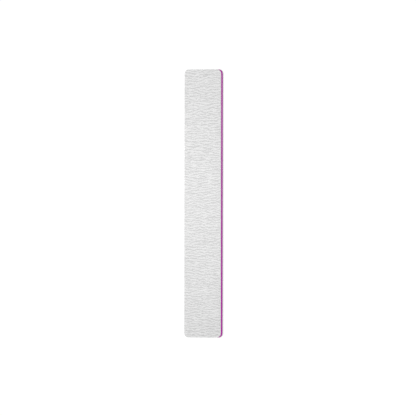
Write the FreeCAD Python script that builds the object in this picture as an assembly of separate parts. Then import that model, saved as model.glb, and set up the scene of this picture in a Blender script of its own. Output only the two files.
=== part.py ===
"""Straight nail file: a stiff board with a cushion of foam and a sheet of abrasive paper bonded to each side.

The file lies on its rear abrasive face. The origin is at the middle of that face, on the surface that the file
rests on. +X runs across the width, +Y along the length, and +Z points up, out of the front abrasive face.

Outwards from the middle of the thickness, each side holds the core board's half, a film of glue, the foam
cushion, another film of glue, the backing paper, and the abrasive coat that the paper carries. The layers are
bonded face to face into one blank and cut out with one rounded die, so they all share one outline. Nothing moves.
"""

import FreeCAD
import Part

import os

# Driving dimensions, in millimetres.
LENGTH = 178.0
WIDTH = 28.0
THICKNESS = 4.0
CORNER_RADIUS = 3.0

ABRASIVE_COAT = 0.15
BACKING_PAPER = 0.25
GLUE_FILM = 0.05
FOAM_PAD = 0.50

# The die rolls the outer rim of each abrasive coat over by this radius.
RIM_ROLL = 0.10

# The layers of one side, from the outer face inwards: the piece's name and its thickness.
SIDE_LAYERS = (
    ("abrasive_coat", ABRASIVE_COAT),
    ("backing_paper", BACKING_PAPER),
    ("paper_glue", GLUE_FILM),
    ("foam_pad", FOAM_PAD),
    ("core_glue", GLUE_FILM),
)
SIDE_THICKNESS = sum(thickness for _, thickness in SIDE_LAYERS)
CORE_BOARD = THICKNESS - 2 * SIDE_THICKNESS

PARTS_FOLDER = "parts"


def blank(bottom, thickness):
    """A slab with the die's outline, from the height bottom upwards."""
    corner = FreeCAD.Vector(-WIDTH / 2, -LENGTH / 2, bottom)
    slab = Part.makeBox(WIDTH, LENGTH, thickness, corner)
    upright = [edge for edge in slab.Edges if abs(edge.tangentAt(edge.FirstParameter).z) > 0.5]
    return slab.makeFillet(CORNER_RADIUS, upright)


def rolled_rim(slab, height):
    """The slab with the rim of its face at that height rolled over."""
    rim = [edge for edge in slab.Edges if all(abs(v.Z - height) < 1e-6 for v in edge.Vertexes)]
    return slab.makeFillet(RIM_ROLL, rim)


def side_pieces(side):
    """The pieces of the front or the rear side, by name. The rear side is the front one turned over."""
    pieces = {}
    depth = 0.0
    for layer, thickness in SIDE_LAYERS:
        bottom = THICKNESS - depth - thickness if side == "front" else depth
        piece = blank(bottom, thickness)
        if layer == "abrasive_coat":
            piece = rolled_rim(piece, THICKNESS if side == "front" else 0.0)
        pieces[f"{side}_{layer}"] = piece
        depth += thickness
    return pieces


def all_pieces():
    """Every piece of the file, by name."""
    pieces = side_pieces("front")
    pieces["core_board"] = blank(SIDE_THICKNESS, CORE_BOARD)
    pieces.update(side_pieces("rear"))
    return pieces


os.makedirs(PARTS_FOLDER, exist_ok=True)
for name, shape in all_pieces().items():
    assert shape.isValid() and len(shape.Solids) == 1, name
    shape.exportStep(os.path.join(PARTS_FOLDER, f"{name}.step"))
    print(f"{name}: {shape.BoundBox.ZMin:.2f} to {shape.BoundBox.ZMax:.2f} mm, {shape.Volume:.1f} mm3")
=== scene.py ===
"""The looks of a straight nail file: a die-cut board of bonded layers, dressed around its packed design.

The file lies flat on its rear abrasive face. +X runs across the width, +Y along the length, and +Z up, out
of the front abrasive face. Each layer is one piece, cut from one of two blanks, and lies where the design's
own node lies.
"""

import logging
import math
from abc import ABC, abstractmethod
from collections.abc import Callable, Iterator
from contextlib import contextmanager
from dataclasses import dataclass
from enum import Enum
from itertools import pairwise

import bmesh
import bpy
from mathutils import Matrix, Vector


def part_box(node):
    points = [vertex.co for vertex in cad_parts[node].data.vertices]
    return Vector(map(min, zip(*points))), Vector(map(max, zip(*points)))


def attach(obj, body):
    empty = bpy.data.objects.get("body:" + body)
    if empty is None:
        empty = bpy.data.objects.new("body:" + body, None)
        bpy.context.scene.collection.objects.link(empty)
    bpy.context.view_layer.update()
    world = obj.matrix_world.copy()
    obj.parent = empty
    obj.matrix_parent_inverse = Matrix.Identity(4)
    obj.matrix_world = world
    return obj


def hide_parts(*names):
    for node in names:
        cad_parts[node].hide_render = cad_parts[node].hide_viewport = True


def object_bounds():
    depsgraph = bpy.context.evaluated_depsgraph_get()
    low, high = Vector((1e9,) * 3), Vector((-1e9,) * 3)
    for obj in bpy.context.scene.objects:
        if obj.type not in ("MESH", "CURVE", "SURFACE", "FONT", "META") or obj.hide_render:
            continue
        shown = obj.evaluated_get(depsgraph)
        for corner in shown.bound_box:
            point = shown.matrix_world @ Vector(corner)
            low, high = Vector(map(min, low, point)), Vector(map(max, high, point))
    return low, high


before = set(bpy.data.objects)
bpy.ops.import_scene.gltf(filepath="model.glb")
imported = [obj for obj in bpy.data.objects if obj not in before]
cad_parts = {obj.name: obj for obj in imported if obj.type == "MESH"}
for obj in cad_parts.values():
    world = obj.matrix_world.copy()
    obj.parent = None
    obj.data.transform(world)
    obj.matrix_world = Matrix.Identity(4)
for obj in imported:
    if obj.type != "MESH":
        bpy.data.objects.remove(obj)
CAD_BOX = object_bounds()

MM = 0.001
TOUCH = 1e-6
CENTRE = (0.0, 0.0, 0.0)
QUARTER_TURN = math.pi / 2
SMOOTH_BELOW = math.radians(50)
BODY = "root"

log = logging.getLogger("nail_file")

Colour = tuple[float, float, float]
Section = list[tuple[float, float]]


# ----------------------------------------------------------------------------------------------------------
# Node trees, written as expressions
# ----------------------------------------------------------------------------------------------------------


class Field:
    """One output of a node. Arithmetic on it adds Math nodes to the tree that it belongs to."""

    def __init__(self, bench: "NodeBench", socket: bpy.types.NodeSocket) -> None:
        """Wraps an output socket.

        Args:
            bench: the bench whose tree holds the socket's node.
            socket: the output socket.
        """
        self.bench = bench
        self.socket = socket

    def other(self, output: str) -> "Field":
        """The same node's output of that name."""
        return Field(self.bench, self.socket.node.outputs[output])

    def math(self, operation: str, *values: "Field | float") -> "Field":
        """Adds a Math node.

        Args:
            operation: the Math node's operation.
            values: its inputs, in order.

        Returns:
            The node's result.
        """
        return self.bench.node("ShaderNodeMath", {"operation": operation}, dict(enumerate(values)))

    def __add__(self, value: "Field | float") -> "Field":
        """self + value."""
        return self.math("ADD", self, value)

    def __radd__(self, value: float) -> "Field":
        """value + self."""
        return self.math("ADD", value, self)

    def __sub__(self, value: "Field | float") -> "Field":
        """self - value."""
        return self.math("SUBTRACT", self, value)

    def __rsub__(self, value: float) -> "Field":
        """value - self."""
        return self.math("SUBTRACT", value, self)

    def __mul__(self, value: "Field | float") -> "Field":
        """self * value."""
        return self.math("MULTIPLY", self, value)

    def __rmul__(self, value: float) -> "Field":
        """value * self."""
        return self.math("MULTIPLY", value, self)

    def __abs__(self) -> "Field":
        """abs(self)."""
        return self.math("ABSOLUTE", self)

    def smooth(self, low: float, high: float) -> "Field":
        """0 up to low, 1 from high on, and an eased rise between them."""
        inputs = {"Value": self, "From Min": low, "From Max": high}
        return self.bench.node("ShaderNodeMapRange", {"interpolation_type": "SMOOTHSTEP"}, inputs)

    def between(self, first: float, last: float) -> "Field":
        """The number that goes from first to last as this one goes from 0 to 1."""
        return self * (last - first) + first


class NodeBench:
    """Adds nodes to one tree, of a material or of a geometry modifier."""

    def __init__(self, tree: bpy.types.NodeTree) -> None:
        """Starts on an empty tree.

        Args:
            tree: the tree to fill.
        """
        self.tree = tree
        tree.nodes.clear()

    def node(self, kind: str, settings: dict | None = None, inputs: dict | None = None) -> Field | None:
        """Adds a node of any type.

        Args:
            kind: the node's type, as Blender names it.
            settings: its properties, which are set before its inputs.
            inputs: a value or a Field for each input, by its name, its identifier or its place.

        Returns:
            The node's first output that is switched on, or None if it has none.
        """
        node = self.tree.nodes.new(kind)
        for key, value in (settings or {}).items():
            setattr(node, key, value)
        for key, value in (inputs or {}).items():
            socket = self._input(node, key)
            if isinstance(value, Field):
                self.tree.links.new(value.socket, socket)
            else:
                socket.default_value = value
        shown = [socket for socket in node.outputs if socket.enabled]
        return Field(self, shown[0]) if shown else None

    @staticmethod
    def _input(node: bpy.types.Node, key: str | int) -> bpy.types.NodeSocket:
        """The input that is switched on, with that name or identifier, or the one at that place."""
        if isinstance(key, int):
            return node.inputs[key]
        return next(each for each in node.inputs if each.enabled and key in (each.name, each.identifier))

    def vector(self, x: Field | float, y: Field | float, z: Field | float) -> Field:
        """A vector of three numbers."""
        return self.node("ShaderNodeCombineXYZ", None, {"X": x, "Y": y, "Z": z})

    def mix(self, factor: Field | float, first: Field | Colour, second: Field | Colour) -> Field:
        """A colour between two others."""
        first, second = (c if isinstance(c, Field) else (*c, 1.0) for c in (first, second))
        inputs = {"Factor_Float": factor, "A_Color": first, "B_Color": second}
        return self.node("ShaderNodeMix", {"data_type": "RGBA"}, inputs)

    def scale(self, vector: Field, by: Field | float) -> Field:
        """A vector or a colour times a number."""
        return self.node("ShaderNodeVectorMath", {"operation": "SCALE"}, {"Vector": vector, "Scale": by})


@dataclass(frozen=True)
class Place:
    """A point of the surface, in millimetres of the file's own frame.

    Attributes:
        whole: the point as a vector.
        x: its place across the width.
        y: its place along the length.
        z: its height.
    """

    whole: Field
    x: Field
    y: Field
    z: Field

    @classmethod
    def of(cls, bench: NodeBench, metres: Field) -> "Place":
        """Splits a position in metres.

        Args:
            bench: the bench to work on.
            metres: the position.

        Returns:
            The place in millimetres.
        """
        whole = bench.scale(metres, 1 / MM)
        split = bench.node("ShaderNodeSeparateXYZ", None, {"Vector": whole})
        return cls(whole, split, split.other("Y"), split.other("Z"))


# ----------------------------------------------------------------------------------------------------------
# Patterns
# ----------------------------------------------------------------------------------------------------------


@dataclass(frozen=True)
class Lumps:
    """Smooth random lumps.

    Attributes:
        scale: lumps per millimetre.
        detail: finer octaves that are added.
        roughness: strength of each octave against the one before.
    """

    scale: float
    detail: float = 0.0
    roughness: float = 0.5

    def at(self, bench: NodeBench, place: Field) -> Field:
        """The lumps' height.

        Args:
            bench: the bench to work on.
            place: where to read it, in millimetres.

        Returns:
            The height, from 0 to 1.
        """
        inputs = {"Vector": place, "Scale": self.scale, "Detail": self.detail, "Roughness": self.roughness}
        return bench.node("ShaderNodeTexNoise", {"noise_dimensions": "3D"}, inputs)

    def about_zero(self, bench: NodeBench, place: Field, strength: float) -> Field:
        """The lumps as hills and hollows about 0.

        Args:
            bench: the bench to work on.
            place: where to read their height, in millimetres.
            strength: height from the deepest hollow to the highest hill.

        Returns:
            The height.
        """
        return (self.at(bench, place) - 0.5) * strength


@dataclass(frozen=True)
class Cells:
    """Random cells that fill space.

    Attributes:
        size: size of one cell, in millimetres.
    """

    size: float

    def at(self, bench: NodeBench, place: Field) -> Field:
        """The distance from the middle of the nearest cell.

        Args:
            bench: the bench to work on.
            place: where to read it, in millimetres.

        Returns:
            The distance, in cells. Its other output "Color" is the cell's own random colour.
        """
        inputs = {"Vector": place, "Scale": 1 / self.size, "Randomness": 1.0}
        return bench.node("ShaderNodeTexVoronoi", {"feature": "F1"}, inputs)


@dataclass(frozen=True)
class Bumps:
    """How far a fine pattern stands out of a surface.

    Attributes:
        strength: share of its slope that shows.
        depth: its depth, in millimetres.
    """

    strength: float
    depth: float

    def normal(self, bench: NodeBench, height: Field) -> Field:
        """The bumpy surface's normal.

        Args:
            bench: the bench to work on.
            height: the pattern.

        Returns:
            The normal.
        """
        inputs = {"Strength": self.strength, "Distance": self.depth * MM, "Height": height}
        return bench.node("ShaderNodeBump", None, inputs)


class Side(Enum):
    """The two broad sides of the file. The value is the way that the side faces along Z."""

    FRONT = 1.0
    REAR = -1.0

    @property
    def word(self) -> str:
        """The side's name, as the design's nodes use it."""
        return self.name.lower()


@dataclass(frozen=True)
class ZebraStreaks:
    """The pale anti-clog coat's wavy streaks, which run across the width and break, fork and join.

    Both the abrasive coat's relief and its finish read them, so grooves and colours agree.

    Attributes:
        side: the broad side that the streaks are on. Each side has its own part of the pattern.
        die: the die whose line is the rim.
        apart: how far apart the two sides' parts lie, across the width and in depth, in millimetres.
        pitch: mean distance between streaks, in millimetres.
        run: how far the pattern is stretched across the width.
        patch: how many streaks lie side by side before the pattern changes.
        waves: the streaks' wandering along the file.
        sway: how far they wander in all, in millimetres.
        blots: small places where the coat is thicker or thinner.
        blot: how strong those are.
        clouds: broad places where it is thicker or thinner.
        cloud: how strong those are.
        worn: width of the rim where handling has rubbed the streaks faint, in millimetres.
        worn_contrast: share of the streaks' contrast that is left at the very rim.
        mean: the pattern's mean.
        levels: the levels that are the bare grooves and the full ridges.
    """

    side: Side
    die: "Die"
    apart: tuple[float, float] = (121.11, 40.37)
    pitch: float = 1.69
    run: float = 1.1
    patch: float = 1.5
    waves: Lumps = Lumps(scale=0.34, detail=1.0)
    sway: float = 1.6
    blots: Lumps = Lumps(scale=0.9, detail=1.0)
    blot: float = 0.28
    clouds: Lumps = Lumps(scale=0.25)
    cloud: float = 0.20
    worn: float = 2.2
    worn_contrast: float = 0.55
    mean: float = 0.49
    levels: tuple[float, float] = (0.32, 0.66)

    def height(self, bench: NodeBench, place: Place) -> Field:
        """How thick the pale coat is, from 0 in the bare grooves to 1 on the ridges.

        Args:
            bench: the bench to work on.
            place: where on the face.

        Returns:
            The coat's relative thickness.
        """
        across, deep = (gap * self.side.value for gap in self.apart)
        flat = bench.vector(place.x, place.y, deep)
        along = place.y + self.waves.about_zero(bench, flat, self.sway)
        inputs = {
            "Vector": bench.vector((place.x + across) * (1 / self.run), along, 0.0),
            "Scale": 1 / (self.patch * self.pitch),
            "Frequency": self.patch,
            "Anisotropy": 1.0,
            "Orientation": QUARTER_TURN,
        }
        ripples = bench.node("ShaderNodeTexGabor", {"gabor_type": "2D"}, inputs)
        uneven = self.blots.about_zero(bench, flat, self.blot)
        uneven += self.clouds.about_zero(bench, flat, self.cloud)
        contrast = self.die.inset(bench, place).smooth(0.0, self.worn).between(self.worn_contrast, 1.0)
        return ((ripples + uneven - self.mean) * contrast + self.mean).smooth(*self.levels)


# ----------------------------------------------------------------------------------------------------------
# Finishes
# ----------------------------------------------------------------------------------------------------------


class Finish(ABC):
    """A material that is worked out from the place on the piece."""

    @property
    @abstractmethod
    def name(self) -> str:
        """The material's name."""

    @abstractmethod
    def shade(self, bench: NodeBench, place: Place) -> Field:
        """Adds the finish's shader.

        Args:
            bench: the bench to work on.
            place: the place on the piece.

        Returns:
            The shader.
        """

    def material(self) -> bpy.types.Material:
        """Makes the material.

        Returns:
            The material, ready to put on a piece.
        """
        material = bpy.data.materials.new(self.name)
        material.use_nodes = True
        bench = NodeBench(material.node_tree)
        metres = bench.node("ShaderNodeTexCoord").other("Object")
        shader = self.shade(bench, Place.of(bench, metres))
        bench.node("ShaderNodeOutputMaterial", None, {"Surface": shader})
        return material


@dataclass(frozen=True)
class ZebraGrit(Finish):
    """Mineral grit in resin, under a pale anti-clog coat that lies in streaks.

    Attributes:
        streaks: the pattern of the coat.
        coat: colour of the coat where it is thick.
        bare: colour of the grit where the coat is thin.
        grains: the single grains.
        ragged: how far the grains break up the edges of the streaks.
        levels: thicknesses at which the coat's colour is all bare and all coat.
        grain_tones: how far the grains differ in tone, where the coat is thin and where it is thick.
        minerals: the range of a grain's random number over which it turns into a dark mineral.
        dark: how much darker a bare grain of that mineral is.
        dust: fine dust over the grains.
        dusting: how much it changes the tone.
        clouds: broad changes of tone.
        clouding: how strong those are.
        chips: the grains' broken faces.
        chipping: height of the chips against that of the grains.
        bumps: how far the grains stand out.
        roughness: roughness where the coat is thin and where it is thick.
    """

    streaks: ZebraStreaks
    coat: Colour = (0.460, 0.460, 0.460)
    bare: Colour = (0.371, 0.371, 0.371)
    grains: Cells = Cells(size=0.15)
    ragged: float = 0.40
    levels: tuple[float, float] = (-0.05, 1.05)
    grain_tones: tuple[float, float] = (0.34, 0.16)
    minerals: tuple[float, float] = (0.92, 0.97)
    dark: float = 0.30
    dust: Lumps = Lumps(scale=1.7, detail=2.0, roughness=0.7)
    dusting: float = 0.30
    clouds: Lumps = Lumps(scale=0.06)
    clouding: float = 0.06
    chips: Lumps = Lumps(scale=9.0, detail=1.0)
    chipping: float = 0.5
    bumps: Bumps = Bumps(strength=0.9, depth=0.07)
    roughness: tuple[float, float] = (0.95, 0.80)

    @property
    def name(self) -> str:
        """The material's name."""
        return f"{self.streaks.side.word}_zebra_grit"

    def shade(self, bench: NodeBench, place: Place) -> Field:
        """Grains that each have a tone of their own, and break up the streaks' edges. See Finish.shade."""
        from_middle = self.grains.at(bench, place.whole)
        own = bench.node("ShaderNodeSeparateColor", None, {"Color": from_middle.other("Color")})
        thick = (self.streaks.height(bench, place) + (own - 0.5) * self.ragged).smooth(*self.levels)
        mineral = own.other("Green").smooth(*self.minerals) * (1 - thick) * self.dark
        tone = (own.other("Blue") - 0.5) * thick.between(*self.grain_tones) + 1.0
        tone += self.dust.about_zero(bench, place.whole, self.dusting)
        tone += self.clouds.about_zero(bench, place.whole, self.clouding)
        grit = self.chips.at(bench, place.whole) * self.chipping - from_middle
        inputs = {
            "Base Color": bench.scale(bench.mix(thick, self.bare, self.coat), tone * (1 - mineral)),
            "Roughness": thick.between(*self.roughness),
            "Normal": self.bumps.normal(bench, grit),
            "IOR": 1.45,
        }
        return bench.node("ShaderNodeBsdfPrincipled", None, inputs)


@dataclass(frozen=True)
class SheetPaper(Finish):
    """Pale, latex-filled backing paper, seen at its cut edge.

    Attributes:
        coarse: the colour of its thicker fibres.
        fine: the colour of its fine ones.
        fibres: the fibres.
        flatness: how many times thinner than long a fibre is.
        levels: the levels that are all coarse and all fine fibre.
        bumps: how far the fibres stand out.
        roughness: roughness of the coarse and the fine fibres.
    """

    coarse: Colour = (0.60, 0.60, 0.585)
    fine: Colour = (0.77, 0.77, 0.765)
    fibres: Lumps = Lumps(scale=2.2, detail=2.0, roughness=0.6)
    flatness: float = 6.0
    levels: tuple[float, float] = (0.25, 0.75)
    bumps: Bumps = Bumps(strength=0.6, depth=0.04)
    roughness: tuple[float, float] = (0.82, 0.97)

    @property
    def name(self) -> str:
        """The material's name."""
        return "backing_paper"

    def shade(self, bench: NodeBench, place: Place) -> Field:
        """Thin fibres that lie flat in the sheet. See Finish.shade."""
        fibres = self.fibres.at(bench, bench.vector(place.x, place.y, place.z * self.flatness))
        inputs = {
            "Base Color": bench.mix(fibres.smooth(*self.levels), self.coarse, self.fine),
            "Roughness": fibres.between(*self.roughness),
            "Normal": self.bumps.normal(bench, fibres),
        }
        return bench.node("ShaderNodeBsdfPrincipled", None, inputs)


@dataclass(frozen=True)
class CellFoam(Finish):
    """White closed-cell foam, whose cut cells show as small pits, with painted shade in them.

    Attributes:
        wall: colour of the foam between the cells.
        pit: painted shade inside the cut cells, a darker colour than the walls.
        cells: the large and the small cells, each with its share of the depth.
        levels: distances from a cell's middle that are its floor and its wall.
        clouds: broad changes of tone.
        clouding: how strong those are.
        bumps: how deep the pits are.
        roughness: roughness of the pits and of the walls.
    """

    wall: Colour = (0.80, 0.80, 0.80)
    # The colour inside the cells is painted shade, darker than the walls, where shade falls in the pits.
    pit: Colour = (0.60, 0.60, 0.61)
    cells: tuple[tuple[float, Cells], ...] = ((0.6, Cells(size=0.20)), (0.4, Cells(size=0.10)))
    levels: tuple[float, float] = (0.10, 0.70)
    clouds: Lumps = Lumps(scale=0.5, detail=1.0)
    clouding: float = 0.08
    bumps: Bumps = Bumps(strength=1.0, depth=0.08)
    roughness: tuple[float, float] = (0.95, 0.80)

    @property
    def name(self) -> str:
        """The material's name."""
        return "white_cell_foam"

    def shade(self, bench: NodeBench, place: Place) -> Field:
        """Large and small pits with rounded floors, coloured darker inside as painted shade. See
        Finish.shade.
        """
        whole = place.whole
        walls = sum(cells.at(bench, whole).smooth(*self.levels) * share for share, cells in self.cells)
        tone = self.clouds.about_zero(bench, whole, self.clouding) + 1.0
        inputs = {
            # Painted shade: the colour darkens from the walls down to the cells' floors.
            "Base Color": bench.scale(bench.mix(walls, self.pit, self.wall), tone),
            "Roughness": walls.between(*self.roughness),
            "Normal": self.bumps.normal(bench, walls),
        }
        return bench.node("ShaderNodeBsdfPrincipled", None, inputs)


@dataclass(frozen=True)
class PunchedPlastic(Finish):
    """Purple moulded sheet, with the die's upright marks on its cut edge.

    Attributes:
        colour: the plastic's colour.
        rubbed: its paler colour where the die dragged over it.
        marks: the drag marks.
        mark_slowness: how fast they change through the thickness, against along the edge.
        mark_levels: the levels of the marks that are unrubbed and rubbed.
        mark_rub: how far the marks go towards the paler colour.
        smears: broader marks.
        smear_slowness: how fast those change through the thickness.
        smear_levels: the levels of the smears that are unrubbed and rubbed.
        smear_rub: how far the smears go towards the paler colour.
        pimples: the plastic's own fine skin.
        skin: shares of the marks and the pimples in the bumps.
        bumps: how far they stand out.
        roughness: roughness where there are no marks, and where they are strongest.
    """

    colour: Colour = (0.360, 0.003, 0.296)
    rubbed: Colour = (0.425, 0.018, 0.355)
    marks: Lumps = Lumps(scale=4.5, detail=2.0, roughness=0.65)
    mark_slowness: float = 0.10
    mark_levels: tuple[float, float] = (0.50, 0.78)
    mark_rub: float = 0.5
    smears: Lumps = Lumps(scale=0.8, detail=1.0)
    smear_slowness: float = 0.20
    smear_levels: tuple[float, float] = (0.45, 0.80)
    smear_rub: float = 0.2
    pimples: Lumps = Lumps(scale=12.0, detail=1.0)
    skin: tuple[float, float] = (0.8, 0.2)
    bumps: Bumps = Bumps(strength=0.7, depth=0.06)
    roughness: tuple[float, float] = (0.42, 0.72)

    @property
    def name(self) -> str:
        """The material's name."""
        return "purple_core_plastic"

    def shade(self, bench: NodeBench, place: Place) -> Field:
        """Drag marks that run through the thickness. See Finish.shade."""
        marks = self.marks.at(bench, bench.vector(place.x, place.y, place.z * self.mark_slowness))
        smears = self.smears.at(bench, bench.vector(place.x, place.y, place.z * self.smear_slowness))
        rub = marks.smooth(*self.mark_levels) * self.mark_rub
        rub += smears.smooth(*self.smear_levels) * self.smear_rub
        skin = marks * self.skin[0] + self.pimples.at(bench, place.whole) * self.skin[1]
        inputs = {
            "Base Color": bench.mix(rub, self.colour, self.rubbed),
            "Roughness": marks.between(*self.roughness),
            "Normal": self.bumps.normal(bench, skin),
            "Specular IOR Level": 0.05,
        }
        return bench.node("ShaderNodeBsdfPrincipled", None, inputs)


@dataclass(frozen=True)
class MilkyGlue(Finish):
    """A film of clear adhesive, milky where it is cut and speckled with dust.

    Attributes:
        colour: the film's colour.
        dust: the colour of what sticks to its edge.
        specks: the specks of dust.
        levels: the levels that are clean film and dust.
        bumps: how far the specks stand out.
        roughness: roughness of the film and of the dust.
    """

    colour: Colour = (0.62, 0.60, 0.55)
    dust: Colour = (0.45, 0.44, 0.42)
    specks: Lumps = Lumps(scale=1.4, detail=2.0)
    levels: tuple[float, float] = (0.50, 0.75)
    bumps: Bumps = Bumps(strength=0.3, depth=0.02)
    roughness: tuple[float, float] = (0.22, 0.72)

    @property
    def name(self) -> str:
        """The material's name."""
        return "milky_glue"

    def shade(self, bench: NodeBench, place: Place) -> Field:
        """Specks of dust on a smooth film. See Finish.shade."""
        specks = self.specks.at(bench, place.whole).smooth(*self.levels)
        inputs = {
            "Base Color": bench.mix(specks, self.colour, self.dust),
            "Roughness": specks.between(*self.roughness),
            "Normal": self.bumps.normal(bench, specks),
            "IOR": 1.47,
        }
        return bench.node("ShaderNodeBsdfPrincipled", None, inputs)


@dataclass(frozen=True)
class StudioCard(Finish):
    """The plain pale card that the file lies on.

    Attributes:
        colour: the card's colour.
        glow: brightness of the light that comes through it from below.
    """

    colour: Colour = (0.07, 0.07, 0.07)
    glow: float = 0.945

    @property
    def name(self) -> str:
        """The material's name."""
        return "studio_card"

    def shade(self, bench: NodeBench, place: Place) -> Field:
        """One even matt colour. See Finish.shade."""
        inputs = {
            "Base Color": (*self.colour, 1.0),
            "Roughness": 1.0,
            "Specular IOR Level": 0.0,
            "Emission Color": (1.0, 1.0, 1.0, 1.0),
            "Emission Strength": self.glow,
        }
        return bench.node("ShaderNodeBsdfPrincipled", None, inputs)


# ----------------------------------------------------------------------------------------------------------
# Work on meshes
# ----------------------------------------------------------------------------------------------------------


@contextmanager
def editing(obj: bpy.types.Object) -> Iterator[None]:
    """Opens one mesh in edit mode with nothing selected, and closes it again.

    Args:
        obj: the mesh to edit.

    Yields:
        Nothing.
    """
    bpy.ops.object.select_all(action="DESELECT")
    bpy.context.view_layer.objects.active = obj
    obj.select_set(True)
    bpy.ops.object.mode_set(mode="EDIT")
    bpy.ops.mesh.select_all(action="DESELECT")
    yield
    bpy.ops.object.mode_set(mode="OBJECT")


def select_vertices(obj: bpy.types.Object, wanted: Callable[[Vector], bool]) -> None:
    """Selects an open mesh's vertices by place, and no others.

    Args:
        obj: the mesh in edit mode.
        wanted: says whether to select the vertex at a place.
    """
    mesh = bmesh.from_edit_mesh(obj.data)
    for vertex in mesh.verts:
        vertex.select = wanted(vertex.co)
    mesh.select_flush_mode()
    bmesh.update_edit_mesh(obj.data)


def grow(width: float, length: float) -> None:
    """Scales what is selected about the file's axis, across and along the file."""
    bpy.ops.transform.resize(value=(width, length, 1.0), center_override=CENTRE)


def extrude(x: float = 0.0, y: float = 0.0, z: float = 0.0) -> None:
    """Extrudes what is selected by an offset."""
    bpy.ops.mesh.extrude_region_move(TRANSFORM_OT_translate={"value": (x, y, z)})


def copy_of(obj: bpy.types.Object, name: str) -> bpy.types.Object:
    """Copies an object with a mesh of its own.

    Args:
        obj: the object to copy.
        name: the copy's name.

    Returns:
        The copy, in the scene.
    """
    copy = obj.copy()
    copy.data = obj.data.copy()
    copy.name = copy.data.name = name
    bpy.context.scene.collection.objects.link(copy)
    return copy


@dataclass(frozen=True)
class Die:
    """The steel rule die that cuts every layer to one rounded rectangle.

    Attributes:
        width: the cut's size across the file.
        length: its size along the file.
        radius: radius of its four corners.
        cell: size of one cell of the blanks' grid.
        corner_rows: rows of cells in each rounded corner.
    """

    width: float
    length: float
    radius: float
    cell: float = 0.25 * MM
    corner_rows: int = 12

    @classmethod
    def of_node(cls, node: str) -> "Die":
        """Measures the outline of one of the design's nodes.

        Args:
            node: the node's name.

        Returns:
            The die that cuts it.
        """
        low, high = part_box(node)
        places = [vertex.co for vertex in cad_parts[node].data.vertices]
        end_of_arc = max(place.x for place in places if high.y - place.y < TOUCH)
        return cls(high.x - low.x, high.y - low.y, high.x - end_of_arc)

    def inset(self, bench: NodeBench, place: Place) -> Field:
        """How far inside the die's straight lines a place is.

        Args:
            bench: the bench to work on.
            place: where on the broad face.

        Returns:
            The distance to the nearest edge, in millimetres.
        """
        across = self.width / MM / 2 - abs(place.x)
        along = self.length / MM / 2 - abs(place.y)
        return across.math("MINIMUM", across, along)

    def half_width(self, angle: float) -> float:
        """Half the cut's width where a corner has turned by an angle from the long side."""
        return self.width / 2 - self.radius * (1 - math.cos(angle))

    def gridded_blank(self) -> bpy.types.Object:
        """Makes a flat blank of small square cells, which can take a relief.

        Returns:
            The blank, at height 0.
        """
        straight = self.length - 2 * self.radius
        columns, rows = (round(size / self.cell) for size in (self.width, straight))
        bpy.ops.object.select_all(action="DESELECT")
        bpy.ops.mesh.primitive_grid_add(x_subdivisions=columns, y_subdivisions=rows, size=1.0)
        blank = bpy.context.object
        blank.name = "gridded_blank"
        angles = [QUARTER_TURN * row / self.corner_rows for row in range(self.corner_rows + 1)]
        with editing(blank):
            bpy.ops.mesh.select_all(action="SELECT")
            grow(self.width, straight)
            for end in (-1, 1):
                select_vertices(blank, lambda co: abs(co.y - end * straight / 2) < TOUCH)
                for before, after in pairwise(angles):
                    extrude(y=end * self.radius * (math.sin(after) - math.sin(before)))
                    grow(self.half_width(after) / self.half_width(before), 1.0)
        return blank

    def plain_blank(self, gridded: bpy.types.Object) -> bpy.types.Object:
        """Makes a flat blank of one face, with the same rim as the gridded one.

        Args:
            gridded: the gridded blank.

        Returns:
            The plain blank, at height 0.
        """
        blank = copy_of(gridded, "plain_blank")
        with editing(blank):
            bpy.ops.mesh.select_all(action="SELECT")
            bpy.ops.mesh.dissolve_faces()
        return blank

    def cut(self, blank: bpy.types.Object, name: str, section: Section) -> bpy.types.Object:
        """Cuts one layer. Its first face is a copy of the blank, and its rim follows a section to the last.

        Args:
            blank: the flat blank for the first face.
            name: the layer's name.
            section: the cut edge from the first face to the last, as insets and heights.

        Returns:
            The closed layer.
        """
        layer = copy_of(blank, name)
        inset, height = section[0]
        with editing(layer):
            bpy.ops.mesh.select_all(action="SELECT")
            grow(1 - 2 * inset / self.width, 1 - 2 * inset / self.length)
            bpy.ops.transform.translate(value=(0.0, 0.0, height))
            bpy.ops.mesh.select_all(action="DESELECT")
            bpy.ops.mesh.select_non_manifold(
                use_wire=False, use_multi_face=False, use_non_contiguous=False, use_verts=False
            )
            for (inset, height), (next_inset, next_height) in pairwise(section):
                extrude(z=next_height - height)
                grow(*((size - 2 * next_inset) / (size - 2 * inset) for size in (self.width, self.length)))
            bpy.ops.mesh.edge_face_add()
            bpy.ops.mesh.select_all(action="SELECT")
            bpy.ops.mesh.normals_make_consistent(inside=False)
        return layer


@dataclass(frozen=True)
class Blanks:
    """The two flat blanks that the layers are cut from.

    Attributes:
        gridded: the one of small square cells.
        plain: the one of a single face.
    """

    gridded: bpy.types.Object
    plain: bpy.types.Object

    @classmethod
    def of(cls, die: Die) -> "Blanks":
        """Makes the blanks for one die."""
        gridded = die.gridded_blank()
        return cls(gridded, die.plain_blank(gridded))

    def discard(self) -> None:
        """Takes the blanks out of the scene."""
        for blank in (self.gridded, self.plain):
            bpy.data.objects.remove(blank)


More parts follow.
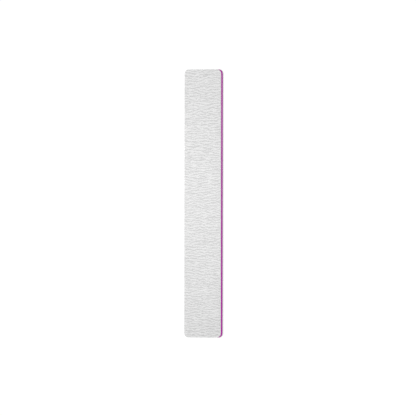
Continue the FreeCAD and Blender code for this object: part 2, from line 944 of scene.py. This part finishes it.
class Relief(ABC):
    """An uneven surface that is pressed or cut into a piece. It only takes material away."""

    @abstractmethod
    def offset(self, bench: NodeBench, place: Place, normal: Field) -> Field:
        """How far each point moves.

        Args:
            bench: the bench to work on.
            place: where the point is.
            normal: the surface's normal there.

        Returns:
            The move, as a vector in metres.
        """

    @staticmethod
    def inwards(bench: NodeBench, normal: Field, depth: Field, up: Field | float) -> Field:
        """A move level with the broad faces into a cut edge, and a move up.

        Args:
            bench: the bench to work on.
            normal: the surface's normal.
            depth: how far the point moves in.
            up: how far it moves up.

        Returns:
            The move.
        """
        outwards = bench.node("ShaderNodeSeparateXYZ", None, {"Vector": normal})
        back = 0 - depth
        return bench.vector(outwards * back, outwards.other("Y") * back, up)

    def press(self, piece: bpy.types.Object) -> None:
        """Works the relief into a piece's mesh.

        Args:
            piece: the piece.
        """
        group = bpy.data.node_groups.new(f"{piece.name}_relief", "GeometryNodeTree")
        for way in ("INPUT", "OUTPUT"):
            group.interface.new_socket(name="Geometry", in_out=way, socket_type="NodeSocketGeometry")
        bench = NodeBench(group)
        place = Place.of(bench, bench.node("GeometryNodeInputPosition"))
        offset = self.offset(bench, place, bench.node("GeometryNodeInputNormal"))
        inputs = {"Geometry": bench.node("NodeGroupInput"), "Offset": offset}
        moved = bench.node("GeometryNodeSetPosition", None, inputs)
        bench.node("NodeGroupOutput", None, {"Geometry": moved})
        bpy.ops.object.select_all(action="DESELECT")
        bpy.context.view_layer.objects.active = piece
        piece.select_set(True)
        modifier = piece.modifiers.new("relief", "NODES")
        modifier.node_group = group
        bpy.ops.object.modifier_apply(modifier=modifier.name)
        bpy.data.node_groups.remove(group)


@dataclass(frozen=True)
class StreakRelief(Relief):
    """The grooves between the pale coat's streaks, and the torn rim of the coat.

    Attributes:
        streaks: the pattern of the coat.
        face: height of the broad face, in millimetres.
        depth: depth of the grooves, in metres.
        roll: depth over which the rim rolls over, in millimetres.
        tears: the pattern of the torn rim.
        tear: how far the rim is torn back, in metres.
    """

    streaks: ZebraStreaks
    face: float
    depth: float = 0.05 * MM
    roll: float = 0.10
    tears: Lumps = Lumps(scale=1.3, detail=2.0)
    tear: float = 0.06 * MM

    def offset(self, bench: NodeBench, place: Place, normal: Field) -> Field:
        """Grooves down into the face, and the rim's tears inwards. See Relief.offset."""
        on_face = 1 - abs(place.z - self.face).smooth(0.0, self.roll)
        bare = (1 - self.streaks.height(bench, place)) * on_face
        torn = self.tears.at(bench, place.whole) * self.tear
        return self.inwards(bench, normal, torn, bare * (-self.depth * self.streaks.side.value))


@dataclass(frozen=True)
class CutRelief(Relief):
    """The roughness of a cut edge.

    Attributes:
        depth: how far the edge is torn back, in metres.
        pitch: size of the roughness along the edge, in millimetres.
        upright: size of it through the thickness, as a multiple of the pitch.
    """

    depth: float
    pitch: float
    upright: float

    def offset(self, bench: NodeBench, place: Place, normal: Field) -> Field:
        """Tears inwards from the cut edge. See Relief.offset."""
        spot = bench.vector(place.x, place.y, place.z * (1 / self.upright))
        torn = Lumps(scale=1 / self.pitch, detail=1.0).at(bench, spot) * self.depth
        return self.inwards(bench, normal, torn, 0.0)


# ----------------------------------------------------------------------------------------------------------
# The layers
# ----------------------------------------------------------------------------------------------------------


@dataclass
class Layer(ABC):
    """One bonded layer of the file.

    Attributes:
        die: the die that cuts it.
        node: the design's node that it stands for.
        side: the broad side that it faces.
    """

    die: Die
    node: str
    side: Side = Side.FRONT

    slot = ""
    gridded = False

    @property
    def outer(self) -> float:
        """Height of the layer's outer face."""
        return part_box(self.node)[1 if self.side is Side.FRONT else 0].z

    @property
    def thickness(self) -> float:
        """Thickness of the layer."""
        low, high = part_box(self.node)
        return high.z - low.z

    def at(self, depth: float) -> float:
        """The height at a depth below the layer's outer face."""
        return self.outer - depth * self.side.value

    @abstractmethod
    def rim(self) -> Section:
        """The cut edge from the outer face to the inner one, as insets and depths."""

    @abstractmethod
    def relief(self) -> Relief:
        """The unevenness of the layer."""

    @abstractmethod
    def finish(self) -> Finish:
        """What the layer looks like."""

    def build(self, blanks: Blanks) -> bpy.types.Object:
        """Makes the layer in its place.

        Args:
            blanks: the blanks to cut it from.

        Returns:
            The finished piece.
        """
        section = [(inset, self.at(depth)) for inset, depth in self.rim()]
        blank = blanks.gridded if self.gridded else blanks.plain
        piece = self.die.cut(blank, f"{self.node}_piece", section)
        self.relief().press(piece)
        bpy.ops.object.shade_smooth_by_angle(angle=SMOOTH_BELOW)
        piece.data.materials.clear()
        piece.data.materials.append(self.finish().material())
        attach(piece, BODY)
        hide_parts(self.node)
        log.info("%s: %d faces", piece.name, len(piece.data.polygons))
        return piece


@dataclass
class AbrasiveCoat(Layer):
    """The grit and its pale streaked coat.

    Attributes:
        roll: radius that the die rolls the outer rim over by.
        roll_steps: steps that the roll is made in.
    """

    roll: float = 0.10 * MM
    roll_steps: int = 3

    slot = "abrasive_coat"
    gridded = True

    def rim(self) -> Section:
        """A rolled outer rim, then straight down."""
        turns = [QUARTER_TURN * step / self.roll_steps for step in range(self.roll_steps + 1)]
        rolled = [(self.roll * (1 - math.sin(turn)), self.roll * (1 - math.cos(turn))) for turn in turns]
        return [*rolled, (0.0, self.thickness)]

    def relief(self) -> Relief:
        """Grooves between the streaks."""
        return StreakRelief(ZebraStreaks(self.side, self.die), self.outer / MM)

    def finish(self) -> Finish:
        """Streaked grit."""
        return ZebraGrit(ZebraStreaks(self.side, self.die))


@dataclass
class BackingPaper(Layer):
    """The sheet that carries the grit.

    Attributes:
        drawn_in: how far the die draws in the edge, at shares of the thickness from the outer face.
    """

    drawn_in: tuple[tuple[float, float], ...] = ((0.0, 0.0), (0.5, 0.0), (0.8, 0.012 * MM), (1.0, 0.03 * MM))

    slot = "backing_paper"

    def rim(self) -> Section:
        """Straight, then drawn in towards the inner face."""
        return [(inset, share * self.thickness) for share, inset in self.drawn_in]

    def relief(self) -> Relief:
        """Fibres that stand out of the edge."""
        return CutRelief(depth=0.05 * MM, pitch=0.5, upright=0.4)

    def finish(self) -> Finish:
        """Pale paper."""
        return SheetPaper()


@dataclass
class GlueFilm(Layer):
    """A film of adhesive, which draws back from the cut edge.

    Attributes:
        drawn_back: how far it draws back.
    """

    drawn_back: float = 0.05 * MM

    slot = "glue_film"

    def rim(self) -> Section:
        """A thin straight edge."""
        return [(self.drawn_back, 0.0), (self.drawn_back, self.thickness)]

    def relief(self) -> Relief:
        """Long waves in and out."""
        return CutRelief(depth=0.08 * MM, pitch=1.5, upright=1.0)

    def finish(self) -> Finish:
        """Milky adhesive."""
        return MilkyGlue()


@dataclass
class FoamPad(Layer):
    """The cushion. The die squeezes it, and its cut edge springs back bowed.

    Attributes:
        bow: how far its outer and inner rims stay back behind its middle.
        rows: rows of cells through its thickness.
    """

    bow: float = 0.07 * MM
    rows: int = 6

    slot = "foam"

    def rim(self) -> Section:
        """A bowed edge."""
        shares = [row / self.rows for row in range(self.rows + 1)]
        return [(self.bow * (2 * share - 1) ** 2, share * self.thickness) for share in shares]

    def relief(self) -> Relief:
        """Cut cells."""
        return CutRelief(depth=0.09 * MM, pitch=0.45, upright=1.0)

    def finish(self) -> Finish:
        """White foam."""
        return CellFoam()

    def build(self, blanks: Blanks) -> bpy.types.Object:
        """See Layer.build."""
        return super().build(blanks)


@dataclass
class CoreBoard(Layer):
    """The stiff board in the middle.

    Attributes:
        soft_edge: size of its softened rims.
        rows: rows of cells through its thickness, between the rims.
    """

    soft_edge: float = 0.08 * MM
    rows: int = 6

    slot = "core_plastic"

    def rim(self) -> Section:
        """Softened rims at both faces, and a straight edge between them."""
        soft, inner = self.soft_edge, self.thickness - 2 * self.soft_edge
        turn = soft * (1 - math.sqrt(0.5))
        straight = [(0.0, soft + inner * row / self.rows) for row in range(self.rows + 1)]
        last = self.thickness
        return [(soft, 0.0), (turn, turn), *straight, (turn, last - turn), (soft, last)]

    def relief(self) -> Relief:
        """Upright drag marks."""
        return CutRelief(depth=0.04 * MM, pitch=0.55, upright=12.0)

    def finish(self) -> Finish:
        """Purple plastic."""
        return PunchedPlastic()


# ----------------------------------------------------------------------------------------------------------
# The sub-assemblies and the whole
# ----------------------------------------------------------------------------------------------------------


@dataclass
class CushionedSide:
    """All that is bonded to one side of the core board.

    Attributes:
        die: the die that cuts the layers.
        side: which side it is.
    """

    die: Die
    side: Side

    def build(self, blanks: Blanks) -> list[bpy.types.Object]:
        """Makes the side's layers, from the outer face inwards.

        Args:
            blanks: the blanks to cut them from.

        Returns:
            The finished pieces.
        """
        kinds = (
            (AbrasiveCoat, "abrasive_coat"),
            (BackingPaper, "backing_paper"),
            (GlueFilm, "paper_glue"),
            (FoamPad, "foam_pad"),
            (GlueFilm, "core_glue"),
        )
        layers = [kind(self.die, f"{self.side.word}_{node}", self.side) for kind, node in kinds]
        return [layer.build(blanks) for layer in layers]


@dataclass
class NailFile:
    """The whole file.

    Attributes:
        core_node: the design's node for the core board, whose outline every layer shares.
    """

    core_node: str = "core_board"

    def build(self) -> list[bpy.types.Object]:
        """Makes every layer.

        Returns:
            The finished pieces.
        """
        die = Die.of_node(self.core_node)
        blanks = Blanks.of(die)
        pieces = [piece for side in Side for piece in CushionedSide(die, side).build(blanks)]
        pieces.append(CoreBoard(die, self.core_node).build(blanks))
        blanks.discard()
        return pieces


# ----------------------------------------------------------------------------------------------------------
# The studio
# ----------------------------------------------------------------------------------------------------------


@dataclass(frozen=True)
class SoftBox:
    """One soft lamp.

    Attributes:
        name: its name.
        place: where it hangs. It points at the file.
        size: side of its square face.
        power: its power, in watts.
    """

    name: str
    place: tuple[float, float, float]
    size: float
    power: float

    def hang(self, target: Vector) -> None:
        """Makes the lamp.

        Args:
            target: the point that it faces.
        """
        lamp = bpy.data.lights.new(self.name, "AREA")
        lamp.shape, lamp.size, lamp.energy = "SQUARE", self.size, self.power
        holder = bpy.data.objects.new(self.name, lamp)
        holder.location = self.place
        holder.rotation_euler = (target - Vector(self.place)).to_track_quat("-Z", "Y").to_euler()
        holder.visible_camera = False
        bpy.context.scene.collection.objects.link(holder)


@dataclass(frozen=True)
class Studio:
    """A pale floor, soft light and the camera.

    Attributes:
        floor_size: side of the floor.
        floor_gap: how far the floor lies below the file, so that no two faces share a plane.
        sky: brightness of the even light from all round.
        lamps: the soft lamps.
        distance: how far the camera stands from the file.
        turn: how far the camera stands round from straight above, towards the long edge, in degrees.
        lean: how far the camera is rolled, in degrees.
        sensor: width of the camera's sensor, in millimetres.
        view_width: width of what the camera frames, at the file.
        aim: how far right and up of the file's middle the camera looks.
    """

    floor_size: float = 30.0
    floor_gap: float = 0.02 * MM
    sky: float = 1.0
    lamps: tuple[SoftBox, ...] = (
        SoftBox(name="top_lamp", place=(-0.062, 0.012, 0.235), size=0.12, power=0.57),
    )
    distance: float = 8.0
    turn: float = 31.2
    lean: float = 0.08
    sensor: float = 36.0
    view_width: float = 276.25 * MM
    aim: tuple[float, float] = (2.73 * MM, -3.01 * MM)

    def lay_floor(self) -> None:
        """Lays the floor."""
        bpy.ops.object.select_all(action="DESELECT")
        bpy.ops.mesh.primitive_plane_add(size=self.floor_size)
        floor = bpy.context.object
        floor.name = "floor"
        with editing(floor):
            bpy.ops.mesh.select_all(action="SELECT")
            bpy.ops.transform.translate(value=(0.0, 0.0, CAD_BOX[0].z - self.floor_gap))
        floor.data.materials.append(StudioCard().material())

    def light(self, target: Vector) -> None:
        """Sets the even light and hangs the lamps.

        Args:
            target: the point that the lamps face.
        """
        scene = bpy.context.scene
        scene.world = bpy.data.worlds.new("soft_sky")
        scene.world.use_nodes = True
        bench = NodeBench(scene.world.node_tree)
        inputs = {"Color": (1.0, 1.0, 1.0, 1.0), "Strength": self.sky}
        sky = bench.node("ShaderNodeBackground", None, inputs)
        bench.node("ShaderNodeOutputWorld", None, {"Surface": sky})
        scene.view_settings.view_transform = "Standard"
        for lamp in self.lamps:
            lamp.hang(target)

    def stand_camera(self, target: Vector) -> None:
        """Stands the camera above the file, with the file's length upright in its view.

        Args:
            target: the file's middle.
        """
        turn = math.radians(self.turn)
        back = Vector((math.sin(turn), 0.0, math.cos(turn)))
        up = Vector((0.0, 1.0, 0.0))
        right = up.cross(back)
        lens = bpy.data.cameras.new("camera")
        lens.sensor_width = self.sensor
        lens.lens = self.sensor * self.distance / self.view_width
        camera = bpy.data.objects.new("camera", lens)
        camera.location = target + right * self.aim[0] + up * self.aim[1] + back * self.distance
        upright = Matrix((right, up, back)).transposed()
        camera.rotation_euler = (upright @ Matrix.Rotation(math.radians(self.lean), 3, "Z")).to_euler()
        bpy.context.scene.collection.objects.link(camera)
        bpy.context.scene.camera = camera

    def set_up(self) -> None:
        """Makes the whole studio."""
        target = (CAD_BOX[0] + CAD_BOX[1]) / 2
        self.lay_floor()
        self.light(target)
        self.stand_camera(target)


def write_sizes() -> None:
    """Brings the scene's evaluated state up to date."""
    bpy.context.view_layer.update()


def main() -> None:
    """Builds the file and the studio around it."""
    logging.basicConfig(level=logging.INFO, format="%(name)s: %(message)s")
    pieces = NailFile().build()
    Studio().set_up()
    write_sizes()
    log.info("%d pieces, %d faces in all", len(pieces), sum(len(piece.data.polygons) for piece in pieces))


if __name__ == "__main__":
    main()
